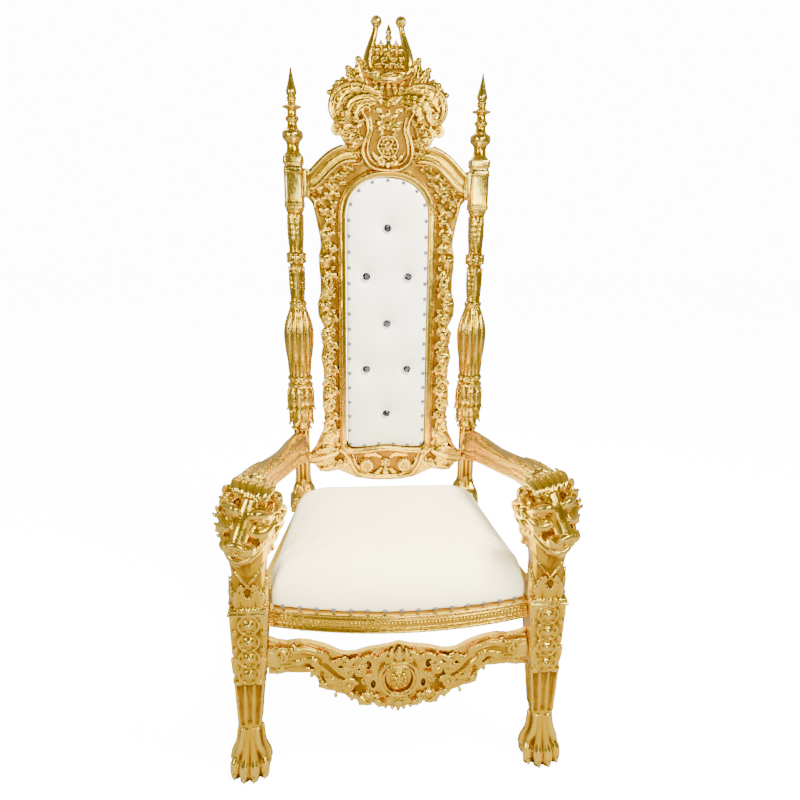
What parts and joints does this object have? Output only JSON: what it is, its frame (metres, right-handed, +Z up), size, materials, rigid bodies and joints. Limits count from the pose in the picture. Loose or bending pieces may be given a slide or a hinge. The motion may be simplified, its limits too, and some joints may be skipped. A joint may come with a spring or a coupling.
{
  "type": "carved throne chair",
  "caption": "Tall gilded throne with lion-head front legs, carved back with crown crest, turned posts, tufted pad and domed seat.",
  "frame": {"origin": "on the floor, at the bottom centre of the whole throne", "axes": "+Z up, front towards -Y, +X to the right of a viewer who faces the throne"},
  "size_m": [0.8154, 0.7025, 1.7944],
  "materials": {
    "carved_gold": "bright gold leaf finish on carved wood, darker in the hollows",
    "back_leatherette": "smooth white leatherette",
    "seat_leatherette": "smooth cream leatherette",
    "crystal": "faceted crystal on a silver cup",
    "nail_pewter": "domed pewter nail heads"
  },
  "bodies": {
    "root": {"crest": "carved_gold", "back_frame": "carved_gold", "post_left": "carved_gold", "post_right": "carved_gold", "arm_left": "carved_gold", "arm_right": "carved_gold", "lion_leg_left": "carved_gold", "lion_leg_right": "carved_gold", "rear_leg_left": "carved_gold", "rear_leg_right": "carved_gold", "front_rail": "carved_gold", "side_rail_left": "carved_gold", "side_rail_right": "carved_gold", "rear_rail": "carved_gold", "front_stretcher": "carved_gold", "back_pad": "back_leatherette", "seat_cushion": "seat_leatherette", "tuft_button_1": "crystal", "tuft_button_2": "crystal", "tuft_button_3": "crystal", "tuft_button_4": "crystal", "tuft_button_5": "crystal", "tuft_button_6": "crystal", "tuft_button_7": "crystal"}
  },
  "joints": []
}
